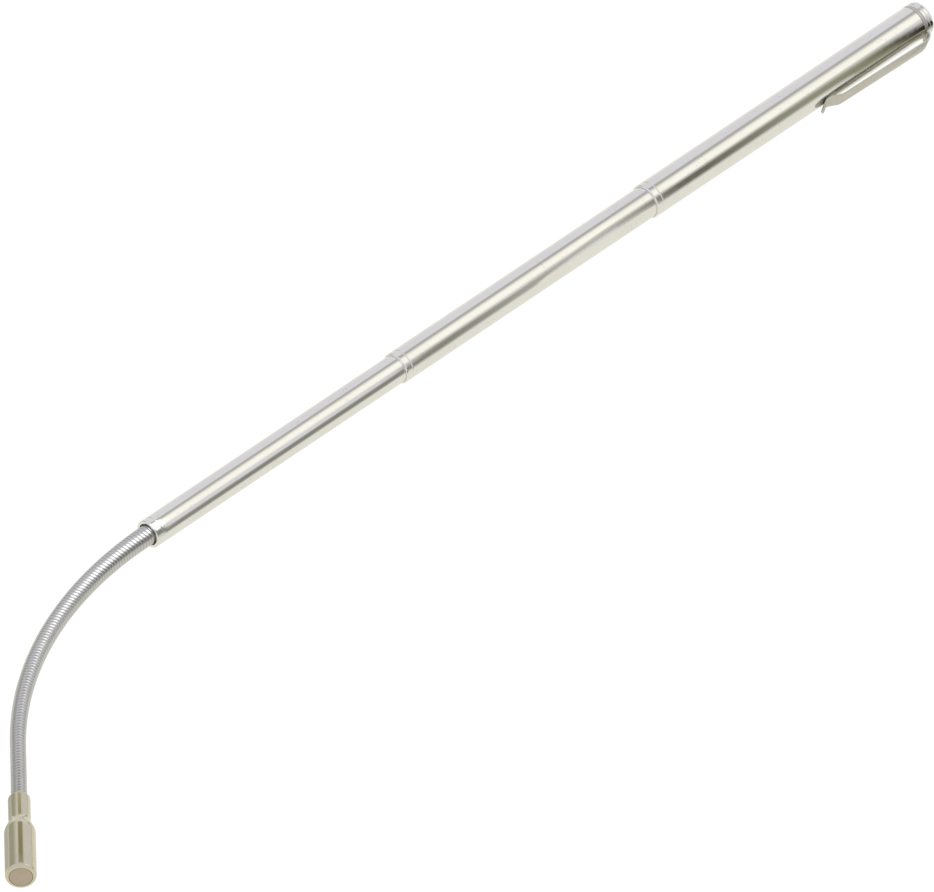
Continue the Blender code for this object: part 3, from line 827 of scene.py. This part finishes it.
def make_flag(name, rows, distance):
    """A card set this far off, where a part mirrors it to the camera; a row has (point, normal, colour)s."""
    shape = bmesh.new()
    shade = shape.verts.layers.float_color.new("shade")
    lines = []
    for row in rows:
        line = []
        for point, normal, colour in row:
            ray = mirror_ray(normal)
            above_table = FLAG_SHARE_TO_TABLE * point.z / -ray.z if ray.z < 0 else distance
            vert = shape.verts.new(point + ray * min(distance, above_table))
            vert[shade] = (*colour, 1)
            line.append(vert)
        lines.append(line)
    for near, far in zip(lines, lines[1:]):
        for i in range(len(near) - 1):
            shape.faces.new((near[i], near[i + 1], far[i + 1], far[i]))
    mesh = bpy.data.meshes.new(name)
    shape.to_mesh(mesh)
    shape.free()
    material = bpy.data.materials.new(name)
    material.use_nodes = True
    tree = material.node_tree
    shader = tree.nodes["Principled BSDF"]
    shader.inputs["Base Color"].default_value = (0, 0, 0, 1)
    shader.inputs["Specular IOR Level"].default_value = 0.0
    shader.inputs["Emission Strength"].default_value = 1.0
    colour = add_node(tree, "ShaderNodeAttribute", {"attribute_name": "shade"}).outputs["Color"]
    tree.links.new(colour, shader.inputs["Emission Color"])
    mesh.materials.append(material)
    flag = bpy.data.objects.new(name, mesh)
    bpy.context.scene.collection.objects.link(flag)
    flag.visible_camera = False
    flag.visible_shadow = False
    flag.visible_diffuse = False


def blend_colour(first, second, share):
    return [a + (b - a) * share for a, b in zip(first, second)]


def make_tube_flag(name, stations):
    """A card along one tube, its dark band fading out towards the edges seen at 'top' and 'bottom'."""
    rows = []
    for along, radius, top, bottom, dark in stations:
        row = []
        for i in range(FLAG_STEPS + 1):
            place = i / FLAG_STEPS
            share = min(place / FLAG_FADE, (1 - place) / FLAG_FADE, 1)
            normal = tube_normal(top + (bottom - top) * place)
            point = Vector((along, tube_y, tube_z)) + normal * radius
            row.append((point, normal, blend_colour(FLAG_PALE, dark, share)))
        rows.append(row)
    make_flag(name, rows, TUBE_FLAG_DISTANCE)


def make_neck_flag():
    """A bright strip with a dim one beside it along the neck, both fading towards the head."""
    strip, dim = (2.3, 2.3, 2.3), (0.26, 0.26, 0.24)
    bands = (
        (-0.30, FLAG_PALE), (-0.13, strip), (0.13, strip), (0.25, FLAG_PALE),
        (0.36, dim), (0.55, dim), (0.72, FLAG_PALE),
    )
    first = -NECK_LEAD - 0.002
    reach = arc_length * 0.80
    rows = []
    for i in range(FLAG_STEPS + 1):
        share = i / FLAG_STEPS
        along = first + reach * share
        heading = neck_heading(along)
        facing = (TO_CAMERA - TO_CAMERA.dot(heading) * heading).normalized()
        across = Vector((0, 0, 1)).cross(heading)
        across = (across - across.dot(facing) * facing).normalized()
        if across.dot(direction(90, 0)) < 0:
            across = -across
        strength = min(max((0.96 - share) / FLAG_FADE, 0), 1)
        shift = 0.12 * share - 0.16
        row = []
        for place, colour in bands:
            lean = asin(place + shift)
            normal = facing * cos(lean) + across * sin(lean)
            point = neck_point(along) + normal * coil_radius(along)
            row.append((point, normal, blend_colour(FLAG_PALE, colour, strength)))
        rows.append(row)
    make_flag("flag_neck", rows, NEAR_FLAG_DISTANCE)


def make_flags():
    """Cards set where each part mirrors them to the camera: along each tube, by the head and by the neck."""
    butt = cap_high.x
    make_tube_flag("flag_inner", [
        (inner_low.x - 0.006, INNER_RADIUS, -0.24, -0.62, (0.27, 0.265, 0.23)),
        (middle_low.x, INNER_RADIUS, -0.24, -0.62, (0.27, 0.265, 0.23)),
    ])
    make_tube_flag("flag_middle", [
        (middle_low.x, MIDDLE_RADIUS, -0.06, -0.58, (0.26, 0.255, 0.21)),
        (middle_low.x + 0.018, MIDDLE_RADIUS, -0.06, -0.58, (0.26, 0.255, 0.21)),
        (middle_low.x + 0.056, MIDDLE_RADIUS, -0.12, -0.56, (0.44, 0.43, 0.38)),
        (middle_low.x + 0.088, MIDDLE_RADIUS, 0.02, -0.34, (0.62, 0.61, 0.55)),
        (barrel_low.x, MIDDLE_RADIUS, 0.02, -0.40, (0.44, 0.44, 0.36)),
    ])
    make_tube_flag("flag_barrel", [
        (barrel_low.x, BARREL_RADIUS, -0.04, -0.54, (0.15, 0.14, 0.105)),
        (barrel_low.x + 0.030, BARREL_RADIUS, -0.04, -0.54, (0.16, 0.15, 0.115)),
        (butt - 0.052, BARREL_RADIUS, -0.04, -0.54, (0.35, 0.34, 0.26)),
        (butt - 0.034, BARREL_RADIUS, 0.0, -0.72, (0.33, 0.32, 0.215)),
        (butt - 0.018, BARREL_RADIUS, -0.02, -0.78, (0.26, 0.25, 0.16)),
        (butt - 0.010, BARREL_RADIUS, -0.02, -0.82, (0.09, 0.085, 0.055)),
        (butt - 0.004, BARREL_RADIUS, -0.14, -0.84, (0.02, 0.02, 0.012)),
        (butt + 0.008, BARREL_RADIUS, -0.18, -0.84, (0.02, 0.02, 0.012)),
    ])

    side = direction(90, 0)
    edge = (0.58, 0.58, 0.60)
    places = ((head_start - 0.004, 0.62), (head_start + HEAD_COLLAR, 0.42), (face_along + 0.002, 0.30))
    top, left = [], []
    for along, dark in places:
        stripe = blend_colour((0, 0, 0), (1, 0.88, 0.60), dark)
        for card, tilts, colour in (
            (top, ((-10, 0), (-6, 1), (7, 1), (11, 0)), stripe),
            (left, ((-89, 0.4), (-80, 1), (-70, 1), (-62, 1), (-54, 1), (-46, 0)), edge),
        ):
            row = []
            for tilt, share in tilts:
                normal = Vector((0, 0, cos(radians(tilt)))) + side * sin(radians(tilt))
                point = neck_point(along) + normal * HEAD_RADIUS
                row.append((point, normal, blend_colour(FLAG_PALE, colour, share)))
            card.append(row)
    make_flag("flag_head", top, NEAR_FLAG_DISTANCE)
    make_flag("flag_head_edge", left, NEAR_FLAG_DISTANCE)
    make_neck_flag()


def make_lamp():
    """A large soft lamp over the table, which the metal doesn't mirror."""
    data = bpy.data.lights.new("overhead", "AREA")
    data.shape = "DISK"
    data.size = 2.4
    data.energy = 12
    lamp = bpy.data.objects.new("overhead", data)
    bpy.context.scene.collection.objects.link(lamp)
    lamp.location = (0, 0, 2.2)
    lamp.visible_glossy = False


# ---- build -------------------------------------------------------------------------------------------------
def main():
    chrome = metal("polished_chrome", (0.83, 0.83, 0.80), (0.74, 0.72, 0.66), 0.07, 0.05, (14, 2200, 2200),
                   1.5e-6, tarnish_share=0.25, dust=0.03, waviness=4e-5)
    clip_steel = metal("plated_spring_steel", (0.62, 0.61, 0.55), (0.52, 0.49, 0.41), 0.38, 0.12,
                       (40, 1800, 1800), 3e-6)
    # the coil's painted shade colour darkens the wire between its turns
    coil_wire = metal("coil_wire", (0.58, 0.58, 0.575), (0.49, 0.49, 0.48), 0.16, 0.10, (900, 900, 900), 3e-6,
                      painted_shade_colour=(0.34, 0.34, 0.34))
    nickel = metal("warm_nickel", (0.67, 0.64, 0.49), (0.57, 0.52, 0.37), 0.10, 0.09, (700, 700, 700), 2e-6)
    brass = metal("turned_brass", (0.75, 0.58, 0.30), (0.52, 0.38, 0.18), 0.22, 0.12, (60, 1500, 1500), 4e-6)
    soft_wire = metal("soft_wire", (0.45, 0.45, 0.46), (0.34, 0.33, 0.32), 0.42, 0.15, (60, 1500, 1500), 4e-6)
    mild_steel = metal("turned_steel", (0.40, 0.40, 0.41), (0.30, 0.28, 0.26), 0.38, 0.15, (60, 1500, 1500),
                       4e-6)
    face_metal = magnet_plating()

    make_tube("barrel_drawn", "barrel_tube", "barrel", BARREL_RADIUS, MIDDLE_RADIUS + LIP_CLEARANCE, chrome)
    make_tube("middle_drawn", "middle_tube", "middle", MIDDLE_RADIUS, INNER_RADIUS + LIP_CLEARANCE, chrome)
    make_tube("inner_drawn", "inner_tube", "inner", INNER_RADIUS, COIL_ROOT_RADIUS + NECK_CLEARANCE, chrome)
    make_end_cap(chrome)
    make_clip_ring(clip_steel)
    make_clip(clip_steel)
    make_coil(coil_wire)
    make_head(nickel)
    make_magnet(face_metal)

    kept = {
        "middle_friction_ring": brass, "inner_friction_ring": brass, "middle_tail_bush": brass,
        "inner_tail_bush": brass, "neck_anchor": brass, "magnet_sleeve": brass, "magnet_backing": mild_steel,
    }
    for number in ["root"] + list(range(1, 9)):
        kept[f"neck_core_{number}"] = soft_wire
    for name, material in kept.items():
        for slot in frame["nodes"][name].material_slots:
            slot.material = material

    make_table()
    make_room()
    make_flags()
    make_lamp()
    make_camera()
    bpy.context.scene.view_settings.view_transform = "Standard"


main()
